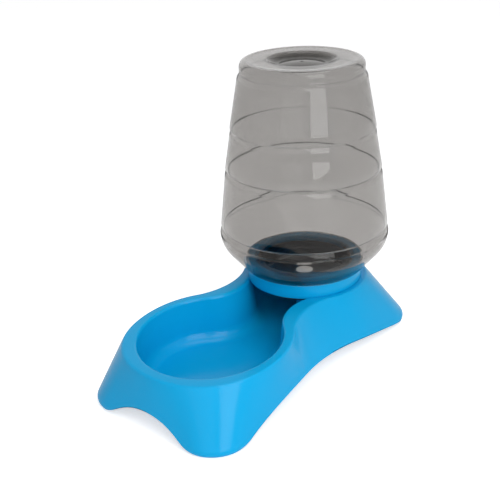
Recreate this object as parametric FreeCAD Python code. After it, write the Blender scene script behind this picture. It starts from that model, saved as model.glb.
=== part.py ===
import FreeCAD, Part
import math
import os

V = FreeCAD.Vector
UP = V(0, 0, 1)

# Driving dimensions, millimetres.
# Every piece is drawn about the bottle's upright axis, with the floor at z = 0 and the bowl towards -Y.

# Base: one moulding with the bowl, the trough under the bottle and a skirt on four feet.
seat_height = 62.7            # top of the base round the bottle seat
bowl_reach = 148.5            # bowl centre, in front of the bottle's axis
bowl_radius = 68.8            # bowl mouth, inside
bowl_outer_radius = 76.0      # bowl lip, outside, at the height of the seat
trough_radius = 55.0          # trough under the bottle, inside
tower_radius = 63.0           # base round the bottle seat, outside
waist_inner_radius = 46.5     # concave side of the waist, inside
waist_outer_radius = 63.4     # concave side of the waist, outside
basin_floor = 15.0            # height of the bowl's floor
basin_draft = 5.5             # how far the bowl's wall leans in at its floor
basin_corner = 13.0           # corner between floor and wall
moulding_wall = 2.8
lip_drop = 8.2                # the lip is this much lower at the front of the bowl
lip_level_reach = 46.0        # from here to the back the lip is level
lip_bend_radius = 300.0
lip_round = 3.3
skirt_front_margin = 91.0     # the skirt's reach at the floor, in front of the bowl's centre
skirt_rear = 91.0
skirt_half_width = 85.4
front_corner = 25.6
rear_corner = 32.0
toe_length = 6.0              # rounding of each toe, along the floor
toe_height = 4.0              # rounding of each toe, upwards
end_arch_height = 20.0
end_arch_radius = 51.5
side_arch_height = 20.5
side_arch_setback = 48.5      # crown of the side arch, behind the bowl's centre
side_arch_front_radius = 250.0
side_arch_rear_radius = 735.0
arch_foot_front_radius = 25.0
arch_foot_rear_radius = 40.0

# Bottle seat: the ring that carries the bottle and stands in the base.
ring_radius = 58.8
ring_height = 19.0            # above the base's top
ring_recess = 1.2             # the ring stands this deep in the base's top
recess_clearance = 0.3
ring_wall = 2.4
ring_flange_width = 6.5
ring_edge = 0.8
spigot_depth = 5.0
spigot_wall = 2.2
spigot_clearance = 0.3
passage_clearance = 1.5       # each side of the waist

# Bottle: blown shell, standing on its shoulder, heights above the seat of the ring.
bottle_wall = 1.0
neck_radius = 46.0
neck_length = 22.2
neck_wall = 1.6
shoulder_radius = 66.0
shoulder_edge = 2.0
cone_angle = 52.0             # degrees above the floor
belly_radius = 84.5
belly_height = 50.4
belly_lower_round = 24.0
groove_heights = [57.6, 115.8, 155.7, 210.4]
groove_radii = [80.7, 73.0, 67.9, 58.4]
under_groove_radii = [83.3, 76.6, 70.5, 62.2]
over_groove_radii = [83.0, 75.7, 69.9, 60.0]
groove_rise = 1.8             # from the groove's bottom up to the next section
shoulder_round_height = 6.5   # rounded shoulder below each groove
bead_radius = 61.0
bead_height = 216.5
bead_slope = 0.7              # the crown rises this much from the bead to its flat rim
bottle_height = 222.5
crown_radius = 52.0
punt_radius = 35.0
punt_edge = 1.5               # rounding of the punt's rim, inwards and down
punt_edge_depth = 1.8
punt_floor_radius = 29.0
punt_depth = 15.0
punt_dome = 3.0

# Screw cap on the neck, with the valve's housing below it.
cap_wall = 1.8
cap_floor = 2.0
thread_space = 1.6
cap_height = 20.5
cap_rib_count = 48
cap_rib = 0.6
gasket_thickness = 2.0
gasket_width = 4.4
port_radius = 7.5
port_lip_height = 0.8
port_lip_width = 1.6
housing_radius = 12.0
housing_wall = 2.2
housing_length = 13.5
outlet_count = 4
outlet_width = 7.0
outlet_height = 4.0
guide_drop = 3.5              # guide's top below the cap's floor
guide_thickness = 2.0
guide_radius = 5.2
spoke_width = 2.2
spoke_count = 3

# Valve: stem, seal, spring and foot.
stem_radius = 2.5
stem_fit = 0.05               # radial clearance of the stem in its guide
valve_lift = 3.0              # the seal stands this far above its port while the bottle is seated
seal_radius = 10.4
seal_thickness = 2.0
head_radius = 8.6
head_thickness = 1.7
foot_radius = 6.4
foot_thickness = 2.5
foot_hub_radius = 4.0
foot_hub_height = 2.0
foot_socket = 3.2
post_radius = 4.5
post_fin_radius = 9.0
post_fin_drop = 6.5           # the fins end this much below the post's top
post_fin_width = 2.2
post_fin_pairs = 2
spring_wire = 0.8
spring_radius = 5.3
spring_turns = 4
spring_height = 9.0           # between the guide and the foot, bottle seated

# Places that follow from the sizes above.
skirt_front = bowl_reach + skirt_front_margin
side_arch_reach = bowl_reach - side_arch_setback
ring_top = seat_height + ring_height
ring_bottom = seat_height - ring_recess
neck_mouth = ring_top - neck_length
cap_inside_floor = neck_mouth - gasket_thickness
cap_bottom = cap_inside_floor - cap_floor
cap_inside_radius = neck_radius + thread_space
cap_radius = cap_inside_radius + cap_wall
seal_bottom = cap_inside_floor + port_lip_height + valve_lift
guide_bottom = cap_bottom - guide_drop - guide_thickness
foot_top = guide_bottom - spring_height
foot_bottom = foot_top - foot_thickness
post_height = foot_bottom - basin_floor

# Room that cutters have past the solid they cut, and how near two heights count as one.
beyond = 2 * skirt_front
cut_margin = 1.0
same_height = 1e-3


def point(angle, radius, centre):
    """Point at an angle in degrees on a circle in plan."""
    turn = math.radians(angle)
    return V(centre.x + radius * math.cos(turn), centre.y + radius * math.sin(turn), centre.z)


def arc_edge(centre, radius, start, end):
    """Arc in plan from one angle to another, in degrees."""
    ends = [point(a, radius, centre) for a in (start, (start + end) / 2, end)]
    return Part.Arc(*ends).toShape()


def waist(bowl, tower, concave):
    """Centre of the concave arc that touches the bowl's and the tower's circle, and its two angles."""
    near, far = bowl + concave, tower + concave
    y = (far ** 2 - near ** 2 + bowl_reach ** 2) / (2 * bowl_reach)
    x = math.sqrt(far ** 2 - y ** 2)
    bowl_angle = math.degrees(math.atan2(bowl_reach - y, x))
    tower_angle = math.degrees(math.atan2(y, x))
    return V(x, -y, 0), bowl_angle, tower_angle


def basin_wire(bowl, tower, concave, z):
    """Closed outline of bowl, waist and trough from four arcs."""
    centre, bowl_angle, tower_angle = waist(bowl, tower, concave)
    left = V(-centre.x, centre.y, z)
    right = V(centre.x, centre.y, z)
    edges = [
        arc_edge(V(0, -bowl_reach, z), bowl, -180 - bowl_angle, bowl_angle),
        arc_edge(right, concave, 180 + bowl_angle, 180 - tower_angle),
        arc_edge(V(0, 0, z), tower, -tower_angle, 180 + tower_angle),
        arc_edge(left, concave, tower_angle, -bowl_angle),
    ]
    return Part.Wire(edges)


def walk(pieces, count):
    """Evenly spaced points along straight and round pieces, without the last end."""
    lengths = [(b - a).Length if kind == "line" else abs(math.radians(b - a)) * radius
               for kind, a, b, centre, radius in pieces]
    total = sum(lengths)
    points = []
    for step in range(count):
        rest = total * step / count
        index = 0
        while rest > lengths[index] and index < len(pieces) - 1:
            rest -= lengths[index]
            index += 1
        kind, a, b, centre, radius = pieces[index]
        share = rest / lengths[index]
        points.append(a + (b - a) * share if kind == "line" else point(a + (b - a) * share, radius, centre))
    return points


def line(a, b):
    return ("line", a, b, None, None)


def turn(a, b, centre, radius):
    return ("arc", a, b, centre, radius)


# Points on the matching stretches of the skirt's half outline: front, front foot, side, rear foot, back.
point_counts = [6, 5, 22, 5, 6]
front_foot_angles = (-62, -22)
rear_foot_angles = (20, 66)


def lip_points(inset):
    """Half outline of the skirt's top, from front to back."""
    bowl, tower = bowl_outer_radius - inset, tower_radius - inset
    concave = waist_outer_radius + inset
    centre, bowl_angle, tower_angle = waist(bowl, tower, concave)
    front, back = V(0, -bowl_reach, 0), V(0, 0, 0)
    first, second = front_foot_angles
    third, fourth = rear_foot_angles
    stretches = [
        [turn(-90, first, front, bowl)],
        [turn(first, second, front, bowl)],
        [turn(second, bowl_angle, front, bowl), turn(180 + bowl_angle, 180 - tower_angle, centre, concave),
         turn(-tower_angle, third, back, tower)],
        [turn(third, fourth, back, tower)],
        [turn(fourth, 90, back, tower)],
    ]
    return stretches, V(0, tower, 0)


def floor_points(inset):
    """Half outline of the skirt at the floor, from front to back."""
    side, front, back = skirt_half_width - inset, -skirt_front + inset, skirt_rear - inset
    near, far = front_corner - inset, rear_corner - inset
    stretches = [
        [line(V(0, front, 0), V(side - near, front, 0))],
        [turn(-90, 0, V(side - near, front + near, 0), near)],
        [line(V(side, front + near, 0), V(side, back - far, 0))],
        [turn(0, 90, V(side - far, back - far, 0), far)],
        [line(V(side - far, back, 0), V(0, back, 0))],
    ]
    return stretches, V(0, back, 0)


def closed_spline(half, z):
    """Smooth closed wire through a half outline and its mirror image."""
    stretches, last = half
    points = [p for pieces, count in zip(stretches, point_counts) for p in walk(pieces, count)]
    right = [V(p.x, p.y, z) for p in points] + [V(last.x, last.y, z)]
    left = [V(-p.x, p.y, z) for p in reversed(right[1:-1])]
    ring = right + left
    curve = Part.BSplineCurve()
    curve.interpolate(Points=ring, PeriodicFlag=True, Parameters=[float(i) for i in range(len(ring) + 1)])
    return Part.Wire([curve.toShape()])


def skirt_solid(inset):
    """Solid between the floor outline and the lip outline, both moved in by the inset."""
    floor, lip = closed_spline(floor_points(inset), 0), closed_spline(lip_points(inset), seat_height)
    return Part.makeLoft([floor, lip], True, True)


def prism(edges, direction):
    return Part.Face(Part.Wire(edges)).extrude(direction)


def segment(a, b):
    return Part.LineSegment(a, b).toShape()


def lip_bend():
    """Slope of the falling lip, and where its bend starts and ends, as reach in Y and drop in Z."""
    slope = math.atan2(lip_drop, bowl_reach + bowl_radius - lip_level_reach)
    tangent = lip_bend_radius * math.tan(slope / 2)
    start = V(0, tangent - lip_level_reach, 0)
    end = V(0, -tangent * math.cos(slope) - lip_level_reach, -tangent * math.sin(slope))
    return slope, start, end


def lip_height(y):
    """Height of the lip: level round the bottle, then a bend, then falling to the front of the bowl."""
    slope, start, end = lip_bend()
    if y >= start.y:
        return seat_height
    if y > end.y:
        return seat_height - lip_bend_radius + math.sqrt(lip_bend_radius ** 2 - (start.y - y) ** 2)
    return seat_height + end.z - (end.y - y) * math.tan(slope)


def above_lip(lower):
    """Everything above the lip, or above a surface that lies lower by a given depth."""
    slope, start, end = lip_bend()

    def at(y, z):
        return V(-beyond, y, z)

    middle_y = start.y - lip_bend_radius * math.sin(slope / 2)
    bend = [at(y, lip_height(y) - lower) for y in (start.y, middle_y, end.y)]
    front = at(-beyond, lip_height(-beyond) - lower)
    back = at(beyond, seat_height - lower)
    high = [at(-beyond, beyond), at(beyond, beyond)]
    edges = [segment(back, bend[0]), Part.Arc(*bend).toShape(), segment(bend[2], front),
             segment(front, high[0]), segment(high[0], high[1]), segment(high[1], back)]
    return prism(edges, V(2 * beyond, 0, 0))


def arch_side(place, crown, height, crown_radius, foot_radius, way):
    """Two touching arcs from the crown of an arch down to the floor, and the place where they reach it."""
    total = crown_radius + foot_radius
    lean = math.acos(1 - height / total)

    def at(radius, angle, level, sign, origin):
        across = origin + sign * radius * math.sin(angle)
        return place(crown + way * across, level - sign * radius * (1 - math.cos(angle)))

    run = total * math.sin(lean)
    upper = [at(crown_radius, lean * share, height, 1, 0) for share in (0, 0.5, 1)]
    lower = [at(foot_radius, lean * share, 0, -1, run) for share in (1, 0.5, 0)]
    return [Part.Arc(*upper).toShape(), Part.Arc(*lower).toShape()], crown + way * run


def toe(place, reach, way):
    """Rounded toe from the floor up to the skirt's full reach, and where it starts."""
    inner = reach - way * toe_length
    half = math.sqrt(0.5)
    middle = place(inner + way * toe_length * half, toe_height * (1 - half))
    return Part.Arc(place(inner, 0), middle, place(reach, toe_height)).toShape(), inner


def foot_cutter(place, crown, height, radii, reaches, direction):
    """What the arch and the toes take off the skirt, seen along one direction."""
    edges = []
    for way, arch_radius, foot_radius, reach in zip((-1, 1), *radii, reaches):
        arcs, floor_end = arch_side(place, crown, height, arch_radius, foot_radius, way)
        rounding, inner = toe(place, reach, way)
        edges += arcs + [segment(place(floor_end, 0), place(inner, 0)), rounding,
                         segment(place(reach, toe_height), place(reach, beyond))]
    edges.append(segment(place(reaches[0], beyond), place(reaches[1], beyond)))
    kept = Part.Face(Part.Wire(Part.__sortEdges__(edges))).extrude(direction)
    depth = max(height, toe_height) + 2 * cut_margin
    block = Part.makeBox(2 * beyond, 2 * beyond, depth, V(-beyond, -beyond, -cut_margin))
    return block.cut(kept)


def basin_lean(z):
    """How far the basin's wall has leaned in at a height."""
    return basin_draft * (seat_height - z) / (seat_height - basin_floor)


def basin_section(grow, z):
    """Outline of the basin at a height, moved out by a wall."""
    inset = basin_lean(z) - grow
    return basin_wire(bowl_radius - inset, trough_radius - inset, waist_inner_radius + inset, z)


def basin_solid(grow, top):
    """Bowl, waist and trough as a solid, its walls leaning in towards a rounded floor."""
    low = basin_floor - grow
    solid = Part.makeLoft([basin_section(grow, low), basin_section(grow, top)], True, True)
    rim = [e for e in solid.Edges if abs(e.BoundBox.ZMax - low) < same_height]
    return solid.makeFillet(basin_corner + grow, rim)


def post():
    """Round post with crossed fins that holds the valve open."""
    stem = Part.makeCylinder(post_radius, post_height, V(0, 0, basin_floor))
    for number in range(post_fin_pairs):
        fins = Part.makeBox(2 * post_fin_radius, post_fin_width, post_height - post_fin_drop,
                            V(-post_fin_radius, -post_fin_width / 2, basin_floor))
        fins.rotate(V(0, 0, 0), UP, 180 * (number + 0.5) / post_fin_pairs)
        stem = stem.fuse(fins)
    return stem


def on_lip(edge):
    """True for an edge that runs round the lip, and not across it."""
    level = all(abs(v.Z - lip_height(v.Y)) < same_height for v in edge.Vertexes)
    return level and edge.BoundBox.YLength > same_height


def base():
    sky = above_lip(0)
    hollow = skirt_solid(moulding_wall).cut(above_lip(moulding_wall))
    shell = skirt_solid(0).cut(sky).cut(hollow)
    across = foot_cutter(lambda s, z: V(s, -beyond, z), 0, end_arch_height,
                         ((end_arch_radius, end_arch_radius), (end_arch_radius, end_arch_radius)),
                         (-skirt_half_width, skirt_half_width), V(0, 2 * beyond, 0))
    along = foot_cutter(lambda s, z: V(-beyond, s, z), -side_arch_reach, side_arch_height,
                        ((side_arch_front_radius, side_arch_rear_radius),
                         (arch_foot_front_radius, arch_foot_rear_radius)),
                        (-skirt_front, skirt_rear), V(2 * beyond, 0, 0))
    top = seat_height + moulding_wall
    basin = basin_solid(moulding_wall, top).cut(above_lip(moulding_wall / 2))
    body = shell.cut(across).cut(along).fuse(basin).cut(basin_solid(0, top)).fuse(post())
    body = body.makeFillet(lip_round, [e for e in body.Edges if on_lip(e)])
    recess = Part.makeCylinder(ring_radius + recess_clearance, ring_recess + lip_round, V(0, 0, ring_bottom))
    return body.cut(recess)


def revolve(corners):
    """Solid of revolution from (radius, height) corners; one marked as an arc is the middle of an arc."""
    edges = []
    start = V(corners[0][0], 0, corners[0][1])
    middle = None
    for corner in corners[1:] + corners[:1]:
        here = V(corner[0], 0, corner[1])
        if len(corner) > 2:
            middle = here
        else:
            edge = segment(start, here) if middle is None else Part.Arc(start, middle, here).toShape()
            edges.append(edge)
            start, middle = here, None
    return Part.Face(Part.Wire(edges)).revolve(V(0, 0, 0), UP, 360)


def bottle_seat():
    low = ring_bottom - spigot_depth
    spigot = trough_radius - basin_lean(low) - spigot_clearance
    spigot_inner = spigot - spigot_wall
    inner = ring_radius - ring_wall
    flange = ring_radius - ring_flange_width
    ledge = ring_bottom + ring_wall
    ring = revolve([
        (spigot, low), (spigot, ring_bottom), (ring_radius, ring_bottom), (ring_radius, ring_top - ring_edge),
        (ring_radius - ring_edge, ring_top), (flange, ring_top), (flange, ring_top - ring_wall),
        (inner, ring_top - ring_wall), (inner, ledge + inner - spigot_inner), (spigot_inner, ledge),
        (spigot_inner, low)])
    centre, bowl_angle, tower_angle = waist(bowl_radius, trough_radius, waist_inner_radius)
    opening = centre.x - waist_inner_radius + passage_clearance
    return ring.cut(Part.makeBox(2 * opening, ring_radius, spigot_depth, V(-opening, -ring_radius, low)))


def arc_middle(start, end, leaving):
    """Middle of the arc that leaves start in a direction (degrees above the level) and reaches end."""
    run, rise = end[0] - start[0], end[1] - start[1]
    first = math.radians(leaving)
    half_turn = (math.atan2(rise, run) - first) / 2
    reach = math.hypot(run, rise) / (2 * math.cos(half_turn))
    way = first + half_turn
    return start[0] + reach * math.cos(way), start[1] + reach * math.sin(way), "arc"


def arc_to(start, end, leaving):
    """The start, the middle and the end of such an arc."""
    return [start, arc_middle(start, end, leaving), end]


def bottle_outline(inset):
    """Half section of the blown shell from the neck's mouth to the middle of the punt."""
    neck = neck_radius - (neck_wall if inset else 0)
    floor_z = ring_top + inset
    lean = math.radians(cone_angle)
    shoulder = shoulder_radius - inset / math.sin(lean)
    belly, belly_z = belly_radius - inset, seat_height + belly_height
    low_round = belly_lower_round - inset
    cone_top = (belly - low_round * (1 - math.sin(lean)), belly_z - low_round * math.cos(lean))
    cone_start = (shoulder + shoulder_edge * math.cos(lean), floor_z + shoulder_edge * math.sin(lean))
    outline = [(neck, neck_mouth), (neck, floor_z)]
    outline += arc_to((shoulder - shoulder_edge, floor_z), cone_start, 0)
    outline += arc_to(cone_top, (belly, belly_z), cone_angle)
    for height, groove, under, over in zip(groove_heights, groove_radii, under_groove_radii, over_groove_radii):
        z = seat_height + height
        outline += arc_to((under - inset, z - shoulder_round_height), (groove - inset, z), 90)
        outline.append((over - inset, z + groove_rise))
    top = seat_height + bottle_height - inset
    crown = (crown_radius, top)
    bead_end = ((crown_radius + bead_radius) / 2, top - bead_slope)
    punt_rim = (punt_radius + inset, top - punt_edge_depth)
    punt_floor = (punt_floor_radius + inset, top - punt_depth)
    punt_middle = (0, top - punt_depth + punt_dome)
    outline += [(bead_radius - inset, seat_height + bead_height, "arc"), bead_end, crown]
    outline += arc_to((punt_radius + punt_edge + inset, top), punt_rim, 180)
    outline += [punt_floor, arc_middle(punt_middle, punt_floor, 0), punt_middle]
    return outline


def bottle():
    """Blown shell. Inside, its wall runs straight from corner to corner, and is thicker at the shoulders."""
    outside = revolve(bottle_outline(0) + [(0, neck_mouth)])
    corners = [corner for corner in bottle_outline(bottle_wall) if len(corner) == 2]
    return outside.cut(revolve(corners + [(0, neck_mouth)]))


def screw_cap():
    low = cap_bottom
    body = Part.makeCylinder(cap_radius, cap_height, V(0, 0, low))
    body = body.cut(Part.makeCylinder(cap_inside_radius, cap_height, V(0, 0, cap_inside_floor)))
    rib = Part.makeCylinder(cap_rib, cap_height - 2 * cap_rib, V(cap_radius, 0, low + cap_rib))
    ribs = []
    for number in range(cap_rib_count):
        copy = rib.copy()
        copy.rotate(V(0, 0, 0), UP, 360 * number / cap_rib_count)
        ribs.append(copy)
    body = body.multiFuse(ribs)
    housing = Part.makeCylinder(housing_radius, housing_length, V(0, 0, low - housing_length))
    lip = Part.makeCylinder(port_radius + port_lip_width, port_lip_height, V(0, 0, cap_inside_floor))
    body = body.multiFuse([housing, lip])
    bore = Part.makeCylinder(housing_radius - housing_wall, housing_length, V(0, 0, low - housing_length))
    port = Part.makeCylinder(port_radius, cap_floor + port_lip_height, V(0, 0, low))
    body = body.cut(bore).cut(port)
    outlet = Part.makeBox(housing_radius * 2, outlet_width, outlet_height,
                          V(0, -outlet_width / 2, low - housing_length))
    for number in range(outlet_count):
        copy = outlet.copy()
        copy.rotate(V(0, 0, 0), UP, 360 * (number + 0.5) / outlet_count)
        body = body.cut(copy)
    guide = Part.makeCylinder(guide_radius, guide_thickness, V(0, 0, guide_bottom))
    spoke = Part.makeBox(housing_radius - housing_wall / 2, spoke_width, guide_thickness,
                         V(0, -spoke_width / 2, guide_bottom))
    for number in range(spoke_count):
        copy = spoke.copy()
        copy.rotate(V(0, 0, 0), UP, 360 * number / spoke_count)
        guide = guide.fuse(copy)
    guide = guide.cut(Part.makeCylinder(stem_radius + stem_fit, guide_thickness, V(0, 0, guide_bottom)))
    return body.fuse(guide).removeSplitter()


def cap_gasket():
    return revolve([(cap_inside_radius - gasket_width, cap_inside_floor), (cap_inside_radius, cap_inside_floor),
                    (cap_inside_radius, neck_mouth), (cap_inside_radius - gasket_width, neck_mouth)])


def valve_stem():
    head_bottom = seal_bottom + seal_thickness
    low = foot_top + foot_hub_height - foot_socket
    return revolve([(0, low), (stem_radius, low), (stem_radius, head_bottom), (head_radius, head_bottom),
                    (head_radius, head_bottom + head_thickness / 2), (stem_radius, head_bottom + head_thickness),
                    (0, head_bottom + head_thickness)])


def valve_seal():
    return revolve([(stem_radius, seal_bottom), (seal_radius, seal_bottom),
                    (seal_radius, seal_bottom + seal_thickness), (stem_radius, seal_bottom + seal_thickness)])


def stem_foot():
    hub_top = foot_top + foot_hub_height
    socket = hub_top - foot_socket
    return revolve([(0, foot_bottom), (foot_radius, foot_bottom), (foot_radius, foot_top),
                    (foot_hub_radius, foot_top), (foot_hub_radius, hub_top), (stem_radius, hub_top),
                    (stem_radius, socket), (0, socket)])


def valve_spring():
    """Coil of half turns, each a round arc that climbs from one side of the axis to the other."""
    half_wire = spring_wire / 2
    climb = (guide_bottom - foot_top - spring_wire) / (2 * spring_turns)
    halves = []
    for number in range(2 * spring_turns):
        side = 1 if number % 2 == 0 else -1
        start = V(side * spring_radius, 0, foot_top + half_wire + number * climb)
        rise = V(-2 * side * spring_radius, 0, climb)
        wire = Part.Face(Part.Wire([Part.Circle(start, V(0, 1, 0), half_wire).toShape()]))
        halves.append(wire.revolve(start + rise / 2, rise.cross(V(0, side, 0)) * -1, 180))
    return halves[0].multiFuse(halves[1:])


PIECES = {
    "base": base,
    "bottle_seat": bottle_seat,
    "bottle": bottle,
    "screw_cap": screw_cap,
    "cap_gasket": cap_gasket,
    "valve_stem": valve_stem,
    "valve_seal": valve_seal,
    "stem_foot": stem_foot,
    "valve_spring": valve_spring,
}

solids = {name: build() for name, build in PIECES.items()}
box = solids["base"].optimalBoundingBox()
centre_line = V(0, -(box.YMin + box.YMax) / 2, -box.ZMin)
os.makedirs("parts", exist_ok=True)
for name, solid in solids.items():
    solid.translate(centre_line)
    solid.exportStep("parts/" + name + ".step")
    print(name, solid.ShapeType, solid.isValid(), len(solid.Solids), round(solid.Volume / 1000, 2), "cm3")
print("overall", box, centre_line)
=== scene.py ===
import math

import bmesh
import bpy
import numpy as np
from mathutils import Matrix, Vector


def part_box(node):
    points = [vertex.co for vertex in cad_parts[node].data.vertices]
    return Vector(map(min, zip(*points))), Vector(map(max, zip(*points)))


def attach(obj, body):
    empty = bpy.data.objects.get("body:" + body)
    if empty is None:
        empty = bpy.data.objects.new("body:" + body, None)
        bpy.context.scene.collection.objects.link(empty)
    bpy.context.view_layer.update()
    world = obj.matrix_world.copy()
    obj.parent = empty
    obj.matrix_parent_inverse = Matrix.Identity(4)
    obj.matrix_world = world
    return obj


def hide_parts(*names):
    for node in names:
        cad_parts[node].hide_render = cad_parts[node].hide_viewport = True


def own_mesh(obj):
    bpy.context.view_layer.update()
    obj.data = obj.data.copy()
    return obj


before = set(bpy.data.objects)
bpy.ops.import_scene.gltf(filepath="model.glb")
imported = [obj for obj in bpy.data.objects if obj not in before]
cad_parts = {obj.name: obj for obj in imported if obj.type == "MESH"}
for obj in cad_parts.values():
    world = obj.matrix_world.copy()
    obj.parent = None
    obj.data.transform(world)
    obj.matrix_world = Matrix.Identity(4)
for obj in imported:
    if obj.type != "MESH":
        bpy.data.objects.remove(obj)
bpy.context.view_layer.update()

# Shapes are worked out in millimetres about the bottle's upright axis.
# The floor is at z = 0, and the bowl lies towards -Y.
MM = 0.001
stem_low, stem_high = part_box("valve_stem")
AXIS_Y = (stem_low.y + stem_high.y) / 2

# Base: outlines of the lip, the basin and the skirt.
SEAT_HEIGHT = 62.7
BOWL_REACH = 148.5
BOWL_RADIUS = 68.8
BOWL_OUTER_RADIUS = 77.5
TROUGH_RADIUS = 55.0
TOWER_RADIUS = 64.0
WAIST_INNER_RADIUS = 46.5
WAIST_OUTER_RADIUS = 62.4
BASIN_FLOOR = 15.0
BASIN_DRAFT = 5.5
BASIN_CORNER = 13.0
MOULDING_WALL = 2.8
LIP_DROP = 8.2
LIP_LEVEL_REACH = 46.0
LIP_BEND_RADIUS = 300.0
LIP_ROUND = 3.3
SKIRT_FRONT_MARGIN = 91.6
SKIRT_FRONT = BOWL_REACH + SKIRT_FRONT_MARGIN
SKIRT_REAR = 91.7
SKIRT_HALF_WIDTH = 85.9
FRONT_CORNER = 30.8
REAR_CORNER = 33.6
FOOT_ROUND = 5.2
FRONT_FOOT_ANGLES = (-62.0, -22.0)
REAR_FOOT_ANGLES = (20.0, 66.0)
END_ARCH_HEIGHT = 21.0
END_ARCH_RADIUS = 68.0
END_ARCH_FOOT_RADIUS = 54.0
SIDE_ARCH_HEIGHT = 20.6
SIDE_ARCH_SETBACK = 33.5
SIDE_ARCH_REACH = BOWL_REACH - SIDE_ARCH_SETBACK
SIDE_ARCH_RADII = (221.0, 867.0)
SIDE_ARCH_FOOT_RADII = (25.0, 40.0)
EDGE_ROUND = 0.7

# Post under the valve, with crossed fins.
POST_RADIUS = 4.5
POST_TOP = 38.5
FIN_REACH = 9.0
FIN_WIDTH = 2.2
FIN_TOP = 32.0
FIN_EDGE = 0.4
FIN_ANGLES = (45.0, 135.0)
LEAST_SINE = 1e-6

# Bottle seat ring.
RING_RADIUS = 58.8
RING_HEIGHT = 19.0
RING_WALL = 2.4
RING_FLANGE = 7.7
RING_RECESS = 1.2
RING_GAP = 0.15
RING_BORE = 51.8
RING_LEDGE = 4.6
SPIGOT_WALL = 2.2
SEAM_DEPTH = 0.5
SEAM_LOW = 0.25
SEAM_HIGH = 0.55
RING_ROUNDS = (0.1, 0.1, 0.3, 1.2, 0.8, 0.5, 0.8, 2.0, 1.0)

# Bottle, heights above the base's top.
BOTTLE_WALL = 1.0
NECK_RADIUS = 46.0
NECK_WALL = 1.6
NECK_LENGTH = 22.2
SHOULDER_RADIUS = 66.0
FOOT_DROP = 4.5
FOOT_CLEARANCE = 0.5
FOOT_CONE = 4.0
UNDERSIDE_ROUNDS = (0.9, 0.6, 1.0, 0.9)
UNDERSIDE_ROUNDS_INSIDE = (1.6, 1.2, 0.3, 0.4)
THREAD_PITCH = 5.0
THREAD_TURNS = 2
THREAD_START = 3.0
THREAD_HALF_WIDTH = 1.3
THREAD_HEIGHT = 1.1
THREAD_FADE = 8
GATE_RADIUS = 1.6
GATE_HEIGHT = 0.8
CONE_ANGLE = math.radians(52.0)
BELLY_RADIUS = 84.9
BELLY_HEIGHT = 50.4
BELLY_ROUND = 24.0
GROOVES = (57.6, 116.2, 156.5, 210.3)
GROOVE_RADII = (81.4, 74.2, 69.0, 58.3)
UNDER_RADII = (84.0, 77.8, 71.4, 62.2)
OVER_RADII = (83.8, 76.9, 70.8, 59.3)
GROOVE_RISE = 1.8
SHOULDER_ROUND = 6.5
BEAD_RADIUS = 59.4
BEAD_HEIGHT = 216.2
BOTTLE_HEIGHT = 222.1
CROWN_RADIUS = 51.0
PUNT_RADIUS = 32.0
PUNT_FLOOR_RADIUS = 24.0
PUNT_EDGE = 2.5
PUNT_EDGE_DEPTH = 1.0
PUNT_DEPTH = 5.0
PUNT_DOME = 2.0
PUNT_WALL_ANGLE = 205.0

# Directions in which an arc leaves its start, in degrees above the level.
STRAIGHT_UP = 90
STRAIGHT_OUT = 0
STRAIGHT_IN = 180

# Spring between the stem's foot and the cap's guide.
SPRING_FOOT = 41.0
SPRING_HEIGHT = 9.0
SPRING_RADIUS = 5.3
SPRING_WIRE = 0.8
SPRING_TURNS = 4

# How finely the surfaces are drawn: steps round a turned piece and round the base's outline, the width in
# steps over which an outline is smoothed, and rows on each stretch of a section.
ROUND_STEPS = 216
OUTLINE_STEPS = 480
BOWL_PERCENT = 19
WAIST_PERCENT = 12
BOWL_STEPS = OUTLINE_STEPS * BOWL_PERCENT // 100
WAIST_STEPS = OUTLINE_STEPS * WAIST_PERCENT // 100
TOWER_STEPS = OUTLINE_STEPS // 2 - BOWL_STEPS - WAIST_STEPS
OUTLINE_BLUR = OUTLINE_STEPS / 200
EDGE_BLUR = OUTLINE_STEPS / 240
SETTLE_ROUNDS = 12
FLOOR_ROWS = 7
CORNER_ROWS = 10
WALL_ROWS = 9
LIP_ROWS = (7, 8)
SKIRT_ROWS = 34
HOLLOW_ROWS = 18
EDGE_ROWS = 4
POST_STEPS = 96
NECK_ROWS = 36
RUN_ROWS = 4
SHORT_RUN_ROWS = 3
UNDERSIDE_ROWS = 5
BELLY_ROWS = 10
SHOULDER_ROWS = 8
GROOVE_ROWS = 6
CROWN_ROWS = (5, 12)
PUNT_ROWS = (7, 5)
DOME_ROWS = 16
GATE_ROWS = 7
RING_CORNER_ROWS = 4
SPRING_STEPS = 193
WIRE_STEPS = 14

# Points of a mesh that lie nearer than this, in metres, become one.
MERGE_DISTANCE = 1e-6

# Camera: what the photograph's view fits.
FOCAL = 856.06
PHOTO_SIZE = 500.0
SENSOR = 36.0
PITCH = math.radians(24.88)
ROLL = math.radians(-2.38)
YAW = math.radians(40.3)
CAMERA_DISTANCE = 0.8944
AIM_PIXEL = (304.45, 271.28)

# Colours, and the two tones that a noise moves each of them between.
BLUE = (0.002, 0.355, 0.69)
BLUE_TONES = ((0.001, 0.35, 0.68), (0.003, 0.36, 0.70))
BLACK = (0.02, 0.02, 0.02)
BLACK_TONES = ((0.014, 0.013, 0.013), (0.028, 0.026, 0.025))
WHITE = (0.75, 0.75, 0.73)
WHITE_TONES = ((0.70, 0.70, 0.68), (0.78, 0.78, 0.76))
RUBBER = (0.1, 0.1, 0.1)
RUBBER_TONES = ((0.08, 0.08, 0.08), (0.13, 0.13, 0.13))
STEEL = (0.6, 0.6, 0.6)
STEEL_TONES = ((0.5, 0.5, 0.5), (0.66, 0.66, 0.65))
NOISE_RANGE = (0.3, 0.7)
NOISE_DETAIL = 2.0

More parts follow.
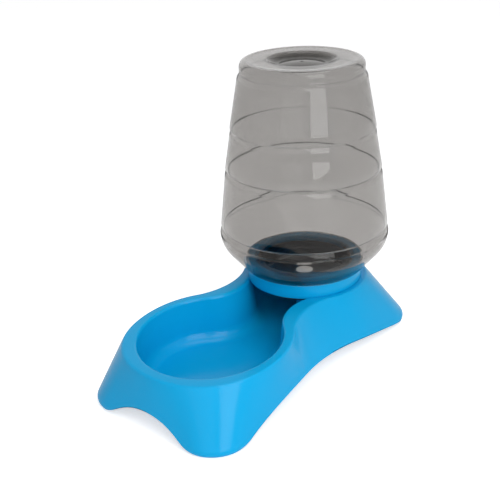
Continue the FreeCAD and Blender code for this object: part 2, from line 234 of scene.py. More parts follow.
# Tints of the clear bottle. The last is what one face of it lets through to the lamps' light.
SMOKE = (0.52, 0.51, 0.50)
TOP_SMOKE = (0.36, 0.347, 0.338)
PUNT_SMOKE = (0.085, 0.08, 0.073)
WINDOW_TINT = (0.72, 0.714, 0.707)

# Light and floor, in metres and watts: each lamp has its place, its size and its power.
WORLD_LIGHT = 0.42
FLOOR_GLOW = 0.55
FLOOR_REACH = 30.0
FLOOR_COLOUR = (0.92, 0.92, 0.92)
FLOOR_ROUGHNESS = 0.9
LAMP_AIM = (0, 0.03, 0.1)
LAMPS = {
    "right_softbox": ((0.90, -0.42, 0.72), (0.60, 1.3), 8.5),
    "left_softbox": ((0.36, -0.92, 0.72), (0.80, 1.3), 1.8),
    "top_softbox": ((0.2, 0.2, 1.6), (0.8, 0.8), 5),
}


def mesh_piece(name, points, faces):
    """Smooth object with its place in its mesh, from points in millimetres about the bottle's axis."""
    place = np.asarray(points, float) * MM + np.array([0.0, AXIS_Y, 0.0])
    mesh = bpy.data.meshes.new(name)
    mesh.from_pydata(place.tolist(), [], faces)
    surface = bmesh.new()
    surface.from_mesh(mesh)
    bmesh.ops.remove_doubles(surface, verts=surface.verts, dist=MERGE_DISTANCE)
    bmesh.ops.recalc_face_normals(surface, faces=surface.faces)
    surface.to_mesh(mesh)
    surface.free()
    mesh.polygons.foreach_set("use_smooth", np.full(len(mesh.polygons), True))
    mesh.update()
    piece = bpy.data.objects.new(name, mesh)
    bpy.context.scene.collection.objects.link(piece)
    return piece


def grid_faces(rows, columns, wrap_rows=True, wrap_columns=False):
    """Quads between neighbours of a grid of points stored row by row."""
    i = np.arange(rows if wrap_rows else rows - 1)
    j = np.arange(columns if wrap_columns else columns - 1)
    i, j = np.meshgrid(i, j, indexing="ij")
    ahead, side = (i + 1) % rows, (j + 1) % columns
    quads = np.stack([i * columns + j, ahead * columns + j, ahead * columns + side, i * columns + side], -1)
    return quads.reshape(-1, 4).tolist()


def lathe(profile):
    """Surface of revolution: each (radius, height) of the profile is carried round the bottle's axis."""
    profile = np.asarray(profile, float)
    turn = np.linspace(0, 2 * np.pi, ROUND_STEPS, endpoint=False)[:, None]
    points = np.stack([profile[:, 0] * np.cos(turn), profile[:, 0] * np.sin(turn),
                       np.broadcast_to(profile[:, 1], (ROUND_STEPS, len(profile)))], -1)
    return points.reshape(-1, 3), grid_faces(ROUND_STEPS, len(profile))


def arc_points(start, end, leaving, count):
    """Arc to end that leaves start at some degrees above the level, with start itself left out. The chord to
    each point turns by its share of half the arc's turn, and its length follows the sine of that."""
    start, end = np.asarray(start, float), np.asarray(end, float)
    chord = end - start
    first = math.radians(leaving)
    half = math.remainder(math.atan2(chord[1], chord[0]) - first, 2 * math.pi)
    share = np.arange(1, count + 1) / count
    reach = np.hypot(*chord) * np.sin(half * share) / math.sin(half)
    way = first + half * share
    return (start + np.stack([reach * np.cos(way), reach * np.sin(way)], -1)).tolist()


def straight(start, end, count):
    """Points along a straight run, start left out."""
    share = np.arange(1, count + 1)[:, None] / count
    return (np.asarray(start, float) * (1 - share) + np.asarray(end, float) * share).tolist()


def round_corners(corners, radii, count):
    """Profile through corners, each rounded by its radius as an arc between its two tangent points."""
    corners = [np.asarray(c, float) for c in corners]
    profile = [corners[0]]
    for before, corner, after, radius in zip(corners, corners[1:], corners[2:], radii):
        to_before = (before - corner) / np.hypot(*(before - corner))
        to_after = (after - corner) / np.hypot(*(after - corner))
        half = math.acos(np.clip(to_before @ to_after, -1, 1)) / 2
        reach = radius / math.tan(half)
        start, end = corner + to_before * reach, corner + to_after * reach
        leaving = math.degrees(math.atan2(-to_before[1], -to_before[0]))
        profile += [start, *map(np.array, arc_points(start, end, leaving, count))]
    return profile + [corners[-1]]


def waist(bowl, tower, concave):
    """Centre of the concave arc that touches the bowl's and the tower's circle, and its two angles."""
    near, far = bowl + concave, tower + concave
    y = (far ** 2 - near ** 2 + BOWL_REACH ** 2) / (2 * BOWL_REACH)
    x = np.sqrt(far ** 2 - y ** 2)
    return x, -y, np.arctan2(BOWL_REACH - y, x), np.arctan2(y, x)


def half_outline(bowl, tower, concave):
    """Bowl, waist and tower arcs of one half, each with evenly spaced points, from front to back."""
    x, y, bowl_angle, tower_angle = waist(bowl, tower, concave)
    first = np.linspace(-np.pi / 2, bowl_angle, BOWL_STEPS, endpoint=False)
    middle = np.linspace(np.pi + bowl_angle, np.pi - tower_angle, WAIST_STEPS, endpoint=False)
    last = np.linspace(-tower_angle, np.pi / 2, TOWER_STEPS + 1)
    return np.concatenate([
        np.stack([bowl * np.cos(first), bowl * np.sin(first) - BOWL_REACH], -1),
        np.stack([x + concave * np.cos(middle), y + concave * np.sin(middle)], -1),
        np.stack([tower * np.cos(last), tower * np.sin(last)], -1)])


def whole(half):
    """Closed outline from a half and its mirror image."""
    return np.concatenate([half, half[-2:0:-1] * [-1, 1]])


def basin_outline(inset):
    """Outline of the basin, moved in by an inset."""
    return whole(half_outline(BOWL_RADIUS - inset, TROUGH_RADIUS - inset, WAIST_INNER_RADIUS + inset))


def lip_outline():
    """Outline of the skirt's top."""
    return whole(half_outline(BOWL_OUTER_RADIUS, TOWER_RADIUS, WAIST_OUTER_RADIUS))


def floor_outline():
    """Rounded rectangle of the skirt at the floor, its points matched to the lip's by feet and sides."""
    lip = half_outline(BOWL_OUTER_RADIUS, TOWER_RADIUS, WAIST_OUTER_RADIUS)
    steps = np.hypot(*np.diff(lip, axis=0).T)
    run = np.concatenate([[0], np.cumsum(steps)])
    bowl_arc = BOWL_OUTER_RADIUS * (np.radians(FRONT_FOOT_ANGLES) + np.pi / 2)
    tower_arc = run[-1] - TOWER_RADIUS * (np.pi / 2 - np.radians(REAR_FOOT_ANGLES))
    knots = np.array([0, *bowl_arc, *tower_arc, run[-1]])
    side_start = SKIRT_HALF_WIDTH - FRONT_CORNER
    rear_start = SKIRT_HALF_WIDTH - REAR_CORNER
    length = SKIRT_FRONT + SKIRT_REAR - FRONT_CORNER - REAR_CORNER
    marks = np.cumsum([0, side_start, FRONT_CORNER * np.pi / 2, length, REAR_CORNER * np.pi / 2, rear_start])
    place = np.interp(run, knots, marks)
    front = np.clip(place, 0, marks[1])
    front_turn = np.clip(place - marks[1], 0, marks[2] - marks[1]) / FRONT_CORNER
    side = np.clip(place - marks[2], 0, length)
    rear_turn = np.clip(place - marks[3], 0, marks[4] - marks[3]) / REAR_CORNER
    rear = np.clip(place - marks[4], 0, rear_start)
    x = front + FRONT_CORNER * np.sin(front_turn) - REAR_CORNER * (1 - np.cos(rear_turn)) - rear
    y = -SKIRT_FRONT + FRONT_CORNER * (1 - np.cos(front_turn)) + side + REAR_CORNER * np.sin(rear_turn)
    return whole(np.stack([x, y], -1))


def smooth_round(values, width):
    """Closed line of values smoothed along itself by a bell curve of that many steps."""
    count = len(values)
    offset = np.minimum(np.arange(count), count - np.arange(count))
    bell = np.exp(-0.5 * (offset / width) ** 2)
    bell /= bell.sum()
    spectrum = np.fft.rfft(bell)
    if values.ndim == 1:
        return np.fft.irfft(np.fft.rfft(values) * spectrum, count)
    return np.stack([np.fft.irfft(np.fft.rfft(v) * spectrum, count) for v in values.T], -1)


def lip_height(y):
    """Height of the lip: level round the bottle, then a bend, then falling to the front of the bowl."""
    slope = math.atan2(LIP_DROP, BOWL_REACH + BOWL_RADIUS - LIP_LEVEL_REACH)
    tangent = LIP_BEND_RADIUS * math.tan(slope / 2)
    start = tangent - LIP_LEVEL_REACH
    end = -tangent * math.cos(slope) - LIP_LEVEL_REACH
    along = np.clip(start - y, 0, start - end)
    bend = SEAT_HEIGHT - LIP_BEND_RADIUS + np.sqrt(LIP_BEND_RADIUS ** 2 - along ** 2)
    fall = SEAT_HEIGHT - tangent * math.sin(slope) - (end - y) * math.tan(slope)
    return np.where(y < end, fall, bend)


def arch(distance, height, crown_radius, foot_radius):
    """Height of an arch beside its crown: a round crown and a round foot that touch, then the floor."""
    total = crown_radius + foot_radius
    lean = math.acos(1 - height / total)
    run = total * math.sin(lean)
    away = np.abs(distance)
    crown = height - crown_radius + np.sqrt(np.maximum(crown_radius ** 2 - away ** 2, 0))
    foot = foot_radius - np.sqrt(np.maximum(foot_radius ** 2 - (run - away) ** 2, 0))
    return np.where(away < crown_radius * math.sin(lean), crown, np.where(away < run, foot, 0))


def edge_height(x, y):
    """Height of the skirt's lower edge over the floor."""
    front, rear = SIDE_ARCH_RADII
    near, far = SIDE_ARCH_FOOT_RADII
    along = y + SIDE_ARCH_REACH
    side = np.where(along < 0, arch(along, SIDE_ARCH_HEIGHT, front, near),
                    arch(along, SIDE_ARCH_HEIGHT, rear, far))
    return np.maximum(side, arch(x, END_ARCH_HEIGHT, END_ARCH_RADIUS, END_ARCH_FOOT_RADIUS))


def corner_round(before, corner, after, radius, count):
    """Rows of points round a corner: a curve that touches both sides, weighted to be a true arc."""
    back, on = before - corner, after - corner
    back /= np.linalg.norm(back, axis=-1, keepdims=True)
    on /= np.linalg.norm(on, axis=-1, keepdims=True)
    half = np.arccos(np.clip(np.sum(back * on, -1), -1, 1)) / 2
    reach = (radius / np.tan(half))[:, None]
    weight = np.sin(half)[:, None]
    start, end = corner + back * reach, corner + on * reach
    rows = []
    for s in np.linspace(0, 1, count):
        a, b, c = (1 - s) ** 2, 2 * s * (1 - s) * weight, s ** 2
        rows.append((a * start + b * corner + c * end) / (a + b + c))
    return rows


def between(start, end, count):
    """Rows of points on straight lines from one row to the next, both left out."""
    return [start + (end - start) * s for s in np.linspace(0, 1, count + 2)[1:-1]]


def level(outline, z):
    """Plan outline lifted to a height, which may differ from point to point."""
    return np.concatenate([outline, np.broadcast_to(z, len(outline))[:, None]], 1)


def skirt_surface(inset):
    """Plan of the skirt as a function of the height: straight up to the lip, and rounded in at the floor."""
    lip, floor = lip_outline(), smooth_round(floor_outline(), OUTLINE_BLUR)
    side = outward(floor)
    if inset:
        lip, floor = lip - inset * outward(lip), floor - inset * side
    lean = np.sum((lip - floor) * -side, 1)
    half = np.arctan2(SEAT_HEIGHT, lean) / 2
    touch = FOOT_ROUND * (1 + np.cos(2 * half))

    def plan(z):
        z = np.broadcast_to(z, len(lip))
        round_in = FOOT_ROUND / np.tan(half) - np.sqrt(np.maximum(FOOT_ROUND ** 2 - (FOOT_ROUND - z) ** 2, 0))
        cut = np.where(z < touch, round_in - z * lean / SEAT_HEIGHT, 0)
        return floor + (lip - floor) * (z / SEAT_HEIGHT)[:, None] - side * cut[:, None]

    return plan


def outward(line):
    """Unit normals of a closed plan outline, pointing out."""
    along = np.roll(line, -1, 0) - np.roll(line, 1, 0)
    normal = np.stack([along[:, 1], -along[:, 0]], -1)
    return normal / np.linalg.norm(normal, axis=1, keepdims=True)


def settled(surface, height):
    """Heights at which a surface meets a height given over the plan, found by putting each height back in."""
    z = np.zeros(OUTLINE_STEPS)
    for _ in range(SETTLE_ROUNDS):
        plan = surface(z)
        z = height(plan[:, 0], plan[:, 1])
    return z


def basin_wall(grow, z):
    """Plan outline of the basin's wall at heights, leaning in towards the floor, moved out by a wall."""
    top, bottom = basin_outline(-grow), basin_outline(BASIN_DRAFT - grow)
    share = (np.broadcast_to(z, len(top)) - BASIN_FLOOR) / (SEAT_HEIGHT - BASIN_FLOOR)
    return bottom + (top - bottom) * share[:, None]


def basin_middle(z):
    """Line that the basin's floor closes on: the bowl's centre, the waist's axis and the trough's centre."""
    half = OUTLINE_STEPS // 2 + 1
    step = np.arange(half)
    y = -BOWL_REACH * (1 - np.clip((step - BOWL_STEPS) / WAIST_STEPS, 0, 1))
    return level(whole(np.stack([np.zeros(half), y], -1)), z)


def basin_rows(grow, top):
    """Rows from the middle of the basin's floor over its rounded corner to just under its wall's top."""
    floor_z = BASIN_FLOOR - grow
    middle = basin_middle(floor_z)
    corner = level(basin_wall(grow, floor_z), floor_z)
    rounded = corner_round(middle, corner, top, BASIN_CORNER + grow, CORNER_ROWS)
    return [middle, *between(middle, rounded[0], FLOOR_ROWS), *rounded, *between(rounded[-1], top, WALL_ROWS)]


def skirt_rows(surface, start, end, count):
    """Rows down a skirt surface between two heights, both left out, closer together towards the lower one."""
    shares = (1 - np.arange(1, count + 1) / (count + 1)) ** 2
    return [level(surface(end + (start - end) * s), end + (start - end) * s) for s in shares]


def base_rows():
    """Closed section of the base all round its outline: basin, lip, down the skirt and back up inside."""
    skirt, inside = skirt_surface(0), skirt_surface(MOULDING_WALL)
    lip_z = settled(skirt, lambda x, y: lip_height(y))
    inner_plan = basin_wall(0, lip_height(basin_outline(0)[:, 1]))
    inner_z = lip_height(inner_plan[:, 1])
    outer_corner = level(skirt(lip_z), lip_z)
    inner_corner = level(inner_plan, inner_z)
    edge = smooth_round(settled(skirt, edge_height), EDGE_BLUR)
    edge_inside = smooth_round(settled(inside, edge_height), EDGE_BLUR)
    low, low_inside = level(skirt(edge), edge), level(inside(edge_inside), edge_inside)
    under_z = lip_z - MOULDING_WALL
    under = level(inside(under_z), under_z)
    hidden_z = inner_z - MOULDING_WALL
    hidden = level(basin_wall(MOULDING_WALL, hidden_z), hidden_z)
    rows = basin_rows(0, inner_corner)
    inner_lip = corner_round(rows[-2], inner_corner, outer_corner, LIP_ROUND, LIP_ROWS[0])
    rows = rows[:-1] + inner_lip
    outer_lip = corner_round(inner_corner, outer_corner, low, LIP_ROUND, LIP_ROWS[1])
    rows += between(inner_lip[-1], outer_lip[0], 1) + outer_lip
    down = skirt_rows(skirt, outer_lip[-1][:, 2], edge, SKIRT_ROWS)
    soft = np.clip(edge, 0, EDGE_ROUND)
    foot = corner_round(down[-1], low, low_inside, soft, EDGE_ROWS)
    rows += down[:-1] + foot
    up = skirt_rows(inside, under_z, edge_inside, HOLLOW_ROWS)[::-1]
    heel = corner_round(low, low_inside, up[0], soft, EDGE_ROWS)
    rows += between(foot[-1], heel[0], 1) + heel
    rows += up[1:] + [under, hidden]
    rows += list(reversed(basin_rows(MOULDING_WALL, hidden)))
    return rows


def post_shell():
    """Round post with four fins: in plan the larger of a circle and two crossed bars, drawn up in steps."""
    turn = np.linspace(0, 2 * np.pi, POST_STEPS, endpoint=False)
    off_fin = np.minimum(*(np.abs(np.sin(turn - a)) for a in np.radians(FIN_ANGLES)))
    reach = np.minimum(FIN_WIDTH / 2 / np.maximum(off_fin, LEAST_SINE), FIN_REACH)
    finned = np.maximum(reach, POST_RADIUS)
    low = BASIN_FLOOR - MOULDING_WALL / 2
    rows = []
    for size, z in ((0, low), (finned, low), (finned, FIN_TOP - FIN_EDGE),
                    (finned - FIN_EDGE * (finned > POST_RADIUS), FIN_TOP), (POST_RADIUS, FIN_TOP),
                    (POST_RADIUS, POST_TOP - FIN_EDGE), (POST_RADIUS - FIN_EDGE, POST_TOP), (0, POST_TOP)):
        radius = np.broadcast_to(size, POST_STEPS)
        rows.append(np.stack([radius * np.cos(turn), radius * np.sin(turn), np.full(POST_STEPS, z)], -1))
    grid = np.stack(rows, 1).reshape(-1, 3)
    return grid, grid_faces(POST_STEPS, len(rows))


def make_base():
    """The base's grid of sections, closed through its inside, with the post that opens the valve."""
    rows = np.stack(base_rows(), 1)
    steps, columns, _ = rows.shape
    points = rows.reshape(-1, 3)
    faces = grid_faces(steps, columns)
    post, post_faces = post_shell()
    faces += [[i + len(points) for i in f] for f in post_faces]
    return mesh_piece("base_moulding", np.concatenate([points, post]), faces)


def groove_runs(inset, bottom):
    """The bottle's side above its belly: for each section a straight run, a rounded shoulder and a groove."""
    profile = [bottom]
    for height, groove, under, over in zip(GROOVES, GROOVE_RADII, UNDER_RADII, OVER_RADII):
        z = SEAT_HEIGHT + height
        start, low = (under - inset, z - SHOULDER_ROUND), (groove - inset, z)
        profile += straight(profile[-1], start, RUN_ROWS)
        profile += arc_points(start, low, STRAIGHT_UP, SHOULDER_ROWS)
        profile += arc_points(low, (over - inset, z + GROOVE_RISE), STRAIGHT_OUT, GROOVE_ROWS)
    return profile[1:]


def cone_reach(z, inset):
    """Radius of the cone under the belly at a height, moved in by the wall."""
    rise = z - SEAT_HEIGHT - RING_HEIGHT
    return SHOULDER_RADIUS + rise / math.tan(CONE_ANGLE) - inset / math.sin(CONE_ANGLE)


def bottle_underside(inset):
    """Neck, recess round the seat ring and foot under the cone, each corner rounded, up to the cone."""
    ring_top = SEAT_HEIGHT + RING_HEIGHT
    neck = NECK_RADIUS - (NECK_WALL if inset else 0)
    ceiling, low = ring_top + inset, ring_top - FOOT_DROP + inset
    grip = RING_RADIUS + FOOT_CLEARANCE + inset
    past = ceiling + FOOT_CONE
    corners = [(neck, ring_top - NECK_LENGTH), (neck, ceiling), (grip, ceiling), (grip, low),
               (cone_reach(low, inset), low), (cone_reach(past, inset), past)]
    profile = round_corners(corners, UNDERSIDE_ROUNDS_INSIDE if inset else UNDERSIDE_ROUNDS, UNDERSIDE_ROWS)
    neck_run = straight(profile[0], profile[1], NECK_ROWS)
    return [profile[0].tolist(), *neck_run, *(p.tolist() for p in profile[2:])]


def bottle_side(inset):
    """Half section of the bottle from its neck's mouth over belly and grooves to the punt's middle."""
    belly, belly_z = BELLY_RADIUS - inset, SEAT_HEIGHT + BELLY_HEIGHT
    belly_round = BELLY_ROUND - inset
    cone_top = (belly - belly_round * (1 - math.sin(CONE_ANGLE)),
                belly_z - belly_round * math.cos(CONE_ANGLE))
    bead = (BEAD_RADIUS - inset, SEAT_HEIGHT + BEAD_HEIGHT)
    top = SEAT_HEIGHT + BOTTLE_HEIGHT - inset
    crown_end = (CROWN_RADIUS, top)
    rim = (PUNT_RADIUS + PUNT_EDGE + inset, top)
    wall_top = (PUNT_RADIUS + inset, top - PUNT_EDGE_DEPTH)
    wall_low = (PUNT_FLOOR_RADIUS + PUNT_EDGE + inset, top - PUNT_DEPTH + PUNT_EDGE_DEPTH)
    dome_edge = (PUNT_FLOOR_RADIUS - PUNT_EDGE + inset, top - PUNT_DEPTH)
    middle = (0, top - PUNT_DEPTH + PUNT_DOME)
    profile = bottle_underside(inset)
    profile += straight(profile[-1], cone_top, SHORT_RUN_ROWS)
    profile += arc_points(cone_top, (belly, belly_z), math.degrees(CONE_ANGLE), BELLY_ROWS)
    profile += groove_runs(inset, profile[-1])
    profile += arc_points(profile[-1], bead, STRAIGHT_UP, CROWN_ROWS[0])
    profile += arc_points(bead, crown_end, STRAIGHT_UP, CROWN_ROWS[1])
    profile += straight(crown_end, rim, SHORT_RUN_ROWS)
    profile += arc_points(rim, wall_top, STRAIGHT_IN, PUNT_ROWS[0])
    profile += straight(wall_top, wall_low, RUN_ROWS)
    profile += arc_points(wall_low, dome_edge, PUNT_WALL_ANGLE, PUNT_ROWS[1])
    dome = arc_points(middle, dome_edge, STRAIGHT_OUT, DOME_ROWS)
    profile += [point for point in dome[-2::-1] if point[0] > GATE_RADIUS]
    nub = np.linspace(1, 0, GATE_ROWS)[:, None]
    gate = 0 if inset else GATE_HEIGHT
    return profile + np.hstack([GATE_RADIUS * nub, middle[1] + gate * np.cos(nub * np.pi / 2) ** 2]).tolist()


def thread(turn, z):
    """How far the neck's thread stands out: a round ridge round the height of a helix, fading in and out."""
    mouth = SEAT_HEIGHT + RING_HEIGHT - NECK_LENGTH
    lift = np.zeros(np.broadcast(turn, z).shape)
    for number in range(THREAD_TURNS):
        run = turn / (2 * np.pi) + number
        away = np.clip((z - mouth - THREAD_START - THREAD_PITCH * run) / THREAD_HALF_WIDTH, -1, 1)
        fade = np.clip(np.minimum(run, THREAD_TURNS - run) * THREAD_FADE, 0, 1)
        lift = np.maximum(lift, THREAD_HEIGHT * fade * np.cos(away * np.pi / 2) ** 2)
    return lift


def make_bottle():
    """Blown shell: down its outer face, round the neck's mouth and up inside, with a thread on the neck."""
    outer, inner = bottle_side(0), bottle_side(BOTTLE_WALL)
    points, faces = lathe(outer[::-1] + inner)
    grid = points.reshape(ROUND_STEPS, -1, 3)
    neck = grid[:, len(outer) - NECK_ROWS:len(outer) - 1]
    turn = np.linspace(0, 2 * np.pi, ROUND_STEPS, endpoint=False)[:, None]
    neck[..., :2] *= (1 + thread(turn, neck[..., 2]) / NECK_RADIUS)[..., None]
    return mesh_piece("bottle_shell", grid.reshape(-1, 3), faces)


def make_ring():
    """Ring turned from a rounded outline: seam at the base's top, upright wall, inward flange and ledge."""
    foot, top = SEAT_HEIGHT - RING_RECESS, SEAT_HEIGHT + RING_HEIGHT - RING_GAP
    inner, flange = RING_RADIUS - RING_WALL, RING_RADIUS - RING_FLANGE
    neck, ledge = RING_RADIUS - SEAM_DEPTH, foot + RING_WALL
    corners = [(RING_BORE + SPIGOT_WALL, foot), (neck, foot), (neck, SEAT_HEIGHT + SEAM_LOW),
               (RING_RADIUS, SEAT_HEIGHT + SEAM_HIGH), (RING_RADIUS, top), (flange, top),
               (flange, top - RING_WALL), (inner, top - RING_WALL), (inner, ledge + RING_LEDGE),
               (RING_BORE, ledge), (RING_BORE, foot)]
    profile = round_corners(corners, RING_ROUNDS, RING_CORNER_ROWS)
    points, faces = lathe(profile + [profile[0]])
    return mesh_piece("seat_ring", points, faces)


def make_spring():
    """Round wire carried up a helix: a circle square to the wire at every step, closed at both ends."""
    turn = np.linspace(0, 2 * np.pi * SPRING_TURNS, SPRING_STEPS)
    turn = np.concatenate([turn[:1], turn, turn[-1:]])[:, None]
    wire = np.full((len(turn), 1), SPRING_WIRE / 2)
    wire[[0, -1]] = 0
    climb = (SPRING_HEIGHT - SPRING_WIRE) / (2 * np.pi * SPRING_TURNS)
    lean = math.atan2(climb, SPRING_RADIUS)
    around = np.linspace(0, 2 * np.pi, WIRE_STEPS, endpoint=False)
    out, up = wire * np.cos(around), wire * np.sin(around)
    reach, aside = SPRING_RADIUS + out, -up * math.sin(lean)
    points = np.stack([reach * np.cos(turn) - aside * np.sin(turn),
                       reach * np.sin(turn) + aside * np.cos(turn),
                       SPRING_FOOT + SPRING_WIRE / 2 + climb * turn + up * math.cos(lean)], -1)
    faces = grid_faces(len(turn), WIRE_STEPS, wrap_rows=False, wrap_columns=True)
    return mesh_piece("valve_coil", points.reshape(-1, 3), faces)


def node_material(name, colour, roughness, **inputs):
    """Principled material. Further inputs are given by name, with underscores for spaces."""
    material = bpy.data.materials.new(name)
    material.use_nodes = True
    shader = material.node_tree.nodes["Principled BSDF"]
    shader.inputs["Base Color"].default_value = (*colour, 1)
    shader.inputs["Roughness"].default_value = roughness
    for key, value in inputs.items():
        shader.inputs[key.replace("_", " ")].default_value = value
    return material


def add_node(material, kind, **values):
    """New shader node. Its inputs are given by name, with underscores for spaces."""
    node = material.node_tree.nodes.new(kind)
    for key, value in values.items():
        node.inputs[key.replace("_", " ")].default_value = value
    return node


def join(material, out, into):
    """Links an output to an input."""
    material.node_tree.links.new(out, into)


def grain(material, scale):
    """Noise on the object's own coordinates, finer with a larger scale."""
    where = material.node_tree.nodes.new("ShaderNodeTexCoord")
    noise = add_node(material, "ShaderNodeTexNoise", Scale=scale, Detail=NOISE_DETAIL)
    join(material, where.outputs["Object"], noise.inputs["Vector"])
    return noise.outputs["Fac"]


def vary_colour(material, source, tones):
    """Base colour that follows a noise from a dark tone to a light one."""
    ramp = material.node_tree.nodes.new("ShaderNodeValToRGB")
    for number, (place, tone) in enumerate(zip(NOISE_RANGE, tones)):
        ramp.color_ramp.elements[number].position = place
        ramp.color_ramp.elements[number].color = (*tone, 1)
    join(material, source, ramp.inputs["Fac"])
    join(material, ramp.outputs["Color"], material.node_tree.nodes["Principled BSDF"].inputs["Base Color"])


def vary_roughness(material, source, low, high):
    """Roughness that follows a noise between two values."""
    spread = add_node(material, "ShaderNodeMapRange", To_Min=low, To_Max=high,
                      From_Min=NOISE_RANGE[0], From_Max=NOISE_RANGE[1])
    join(material, source, spread.inputs["Value"])
    join(material, spread.outputs["Result"], material.node_tree.nodes["Principled BSDF"].inputs["Roughness"])


def fine_bump(material, source, strength, distance):
    """Bump from a noise."""
    bump = add_node(material, "ShaderNodeBump", Strength=strength, Distance=distance)
    join(material, source, bump.inputs["Height"])
    join(material, bump.outputs["Normal"], material.node_tree.nodes["Principled BSDF"].inputs["Normal"])


def blue_moulding(name):
    """Bright blue moulded plastic: soft gloss that varies a little, and a faint flow in its colour."""
    material = node_material(name, BLUE, roughness=0.16, Specular_IOR_Level=0.16)
    vary_colour(material, grain(material, scale=14), BLUE_TONES)
    vary_roughness(material, grain(material, scale=60), low=0.15, high=0.18)
    return material


def smoke_plastic(name):
    """Clear blown plastic with a smoke tint by the distance from the middle of the top: darkest in the punt,
    paler out to the bead, and even from there on. The lamps' light passes it as through a tinted window."""
    material = node_material(name, SMOKE, roughness=0.03, Transmission_Weight=1.0, IOR=1.3)
    nodes = material.node_tree.nodes
    where, plan = nodes.new("ShaderNodeTexCoord"), nodes.new("ShaderNodeMapping")
    plan.inputs["Location"].default_value = (0, -AXIS_Y, -(SEAT_HEIGHT + BOTTLE_HEIGHT) * MM)
    far = nodes.new("ShaderNodeVectorMath")
    far.operation = "LENGTH"
    thick = add_node(material, "ShaderNodeMapRange", From_Min=0, From_Max=BEAD_RADIUS * MM)
    tint = nodes.new("ShaderNodeValToRGB")
    tint.color_ramp.elements[0].color = (*PUNT_SMOKE, 1)
    tint.color_ramp.elements[1].color = (*SMOKE, 1)
    tint.color_ramp.elements[0].position = (PUNT_RADIUS - PUNT_EDGE) / BEAD_RADIUS
    tint.color_ramp.elements.new((PUNT_RADIUS + PUNT_EDGE) / BEAD_RADIUS).color = (*TOP_SMOKE, 1)
    join(material, where.outputs["Object"], plan.inputs["Vector"])
    join(material, plan.outputs["Vector"], far.inputs[0])
    join(material, far.outputs["Value"], thick.inputs["Value"])
    join(material, thick.outputs["Result"], tint.inputs["Fac"])
    join(material, tint.outputs["Color"], nodes["Principled BSDF"].inputs["Base Color"])
    window = add_node(material, "ShaderNodeBsdfTransparent", Color=(*WINDOW_TINT, 1))
    path = nodes.new("ShaderNodeLightPath")
    mix = nodes.new("ShaderNodeMixShader")
    join(material, path.outputs["Is Shadow Ray"], mix.inputs[0])
    join(material, nodes["Principled BSDF"].outputs["BSDF"], mix.inputs[1])
    join(material, window.outputs["BSDF"], mix.inputs[2])
    join(material, mix.outputs["Shader"], nodes["Material Output"].inputs["Surface"])
    return material


def black_plastic(name):
    """Black moulded plastic with a satin face."""
    material = node_material(name, BLACK, roughness=0.4)
    vary_colour(material, grain(material, scale=40), BLACK_TONES)
    vary_roughness(material, grain(material, scale=120), low=0.3, high=0.5)
    return material


def white_plastic(name):
    """Off-white valve plastic."""
    material = node_material(name, WHITE, roughness=0.4)
    vary_colour(material, grain(material, scale=90), WHITE_TONES)
    return material


def seal_rubber(name):
    """Dull dark rubber."""
    material = node_material(name, RUBBER, roughness=0.7)
    vary_colour(material, grain(material, scale=200), RUBBER_TONES)
    fine_bump(material, grain(material, scale=1500), strength=0.15, distance=0.0002)
    return material


def spring_steel(name):
    """Drawn stainless wire."""
    material = node_material(name, STEEL, roughness=0.3, Metallic=1.0)
    vary_colour(material, grain(material, scale=400), STEEL_TONES)
    return material


def dress(piece, material):
    """Gives a piece one material."""
    piece.data.materials.clear()
    piece.data.materials.append(material)


def camera():
    """Camera at the photograph's place, aimed at the bottle's axis at the height of the base's top."""
    ahead = Vector((-math.sin(YAW) * math.cos(PITCH), math.cos(YAW) * math.cos(PITCH), -math.sin(PITCH)))
    right = Vector((math.cos(YAW), math.sin(YAW), 0))
    up = right.cross(ahead)
    right_rolled = right * math.cos(ROLL) + up * math.sin(ROLL)
    up_rolled = up * math.cos(ROLL) - right * math.sin(ROLL)
    across, down = ((pixel - PHOTO_SIZE / 2) / FOCAL for pixel in AIM_PIXEL)
    ray = (right_rolled * across - up_rolled * down + ahead).normalized()
    target = Vector((0, AXIS_Y, SEAT_HEIGHT * MM))
    data = bpy.data.cameras.new("camera")
    data.sensor_width = SENSOR
    data.lens = FOCAL / PHOTO_SIZE * SENSOR
    view = bpy.data.objects.new("camera", data)
    view.matrix_world = Matrix.Translation(target - ray * CAMERA_DISTANCE) @ Matrix(
        (right_rolled, up_rolled, -ahead)).transposed().to_4x4()
    bpy.context.scene.collection.objects.link(view)
    bpy.context.scene.camera = view


def softbox(name, place, size, power):
    """Rectangular area lamp that faces the object."""
    data = bpy.data.lights.new(name, "AREA")
    data.shape = "RECTANGLE"
    data.size, data.size_y = size
    data.energy = power
    lamp = bpy.data.objects.new(name, data)
    lamp.location = place
    lamp.rotation_euler = (Vector(LAMP_AIM) - Vector(place)).to_track_quat("-Z", "Y").to_euler()
    bpy.context.scene.collection.objects.link(lamp)


def pale_world():
    """Soft grey-white light all round, white where it is only seen, mirrored or looked at through plastic."""
    world = bpy.data.worlds.new("studio")
    bpy.context.scene.world = world
    world.use_nodes = True
    nodes, links = world.node_tree.nodes, world.node_tree.links
    back = nodes["Background"]
    back.inputs["Color"].default_value = (1, 1, 1, 1)
    path = nodes.new("ShaderNodeLightPath")
    seen, mirrored = nodes.new("ShaderNodeMath"), nodes.new("ShaderNodeMath")
    seen.operation = mirrored.operation = "MAXIMUM"
    spread = nodes.new("ShaderNodeMapRange")
    spread.inputs["To Min"].default_value = WORLD_LIGHT
    spread.inputs["To Max"].default_value = 1.0
    links.new(path.outputs["Is Camera Ray"], seen.inputs[0])
    links.new(path.outputs["Is Transmission Ray"], seen.inputs[1])
    links.new(seen.outputs[0], mirrored.inputs[0])
    links.new(path.outputs["Is Glossy Ray"], mirrored.inputs[1])
    links.new(mirrored.outputs[0], spread.inputs["Value"])
    links.new(spread.outputs["Result"], back.inputs["Strength"])


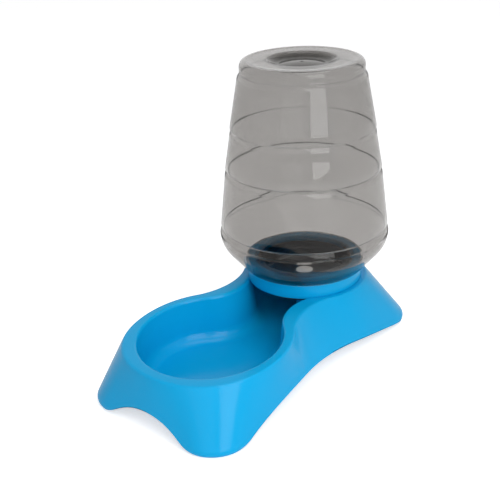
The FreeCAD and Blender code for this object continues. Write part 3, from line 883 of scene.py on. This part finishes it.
def pale_floor():
    """Wide pale floor that keeps the object's shadow, and glows where it is only seen."""
    mesh = bpy.data.meshes.new("floor")
    corners = [(x * FLOOR_REACH, y * FLOOR_REACH, 0) for x, y in ((-1, -1), (1, -1), (1, 1), (-1, 1))]
    mesh.from_pydata(corners, [], [(0, 1, 2, 3)])
    floor = bpy.data.objects.new("floor", mesh)
    bpy.context.scene.collection.objects.link(floor)
    material = bpy.data.materials.new("pale_floor")
    material.use_nodes = True
    nodes = material.node_tree.nodes
    shader = nodes["Principled BSDF"]
    shader.inputs["Base Color"].default_value = (*FLOOR_COLOUR, 1)
    shader.inputs["Roughness"].default_value = FLOOR_ROUGHNESS
    shader.inputs["Emission Color"].default_value = (1, 1, 1, 1)
    path = nodes.new("ShaderNodeLightPath")
    most = nodes.new("ShaderNodeMath")
    most.operation = "MAXIMUM"
    glow = nodes.new("ShaderNodeMath")
    glow.operation = "MULTIPLY"
    glow.inputs[1].default_value = FLOOR_GLOW
    join(material, path.outputs["Is Camera Ray"], most.inputs[0])
    join(material, path.outputs["Is Transmission Ray"], most.inputs[1])
    join(material, most.outputs[0], glow.inputs[0])
    join(material, glow.outputs[0], shader.inputs["Emission Strength"])
    mesh.materials.append(material)


def studio():
    """Two tall softboxes right and left of the camera, the left one weaker, and a square one overhead."""
    for name, (place, size, power) in LAMPS.items():
        softbox(name, place, size, power)


base_piece = make_base()
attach(base_piece, "base")
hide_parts("base")
dress(base_piece, blue_moulding("blue_base_plastic"))

ring_piece = make_ring()
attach(ring_piece, "base")
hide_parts("bottle_seat")
dress(ring_piece, blue_moulding("blue_ring_plastic"))

bottle_piece = make_bottle()
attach(bottle_piece, "base")
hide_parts("bottle")
dress(bottle_piece, smoke_plastic("smoke_clear_plastic"))

spring_piece = make_spring()
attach(spring_piece, "base")
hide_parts("valve_spring")
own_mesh(spring_piece)
dress(spring_piece, spring_steel("spring_steel_wire"))

cap_black = black_plastic("cap_black_plastic")
rubber = seal_rubber("gasket_rubber")
white = white_plastic("valve_white_plastic")
for node, material in (("screw_cap", cap_black), ("cap_gasket", rubber), ("valve_seal", rubber),
                       ("valve_stem", white), ("stem_foot", white)):
    dress(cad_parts[node], material)

camera()
pale_world()
pale_floor()
studio()
bpy.context.scene.view_settings.view_transform = "Standard"
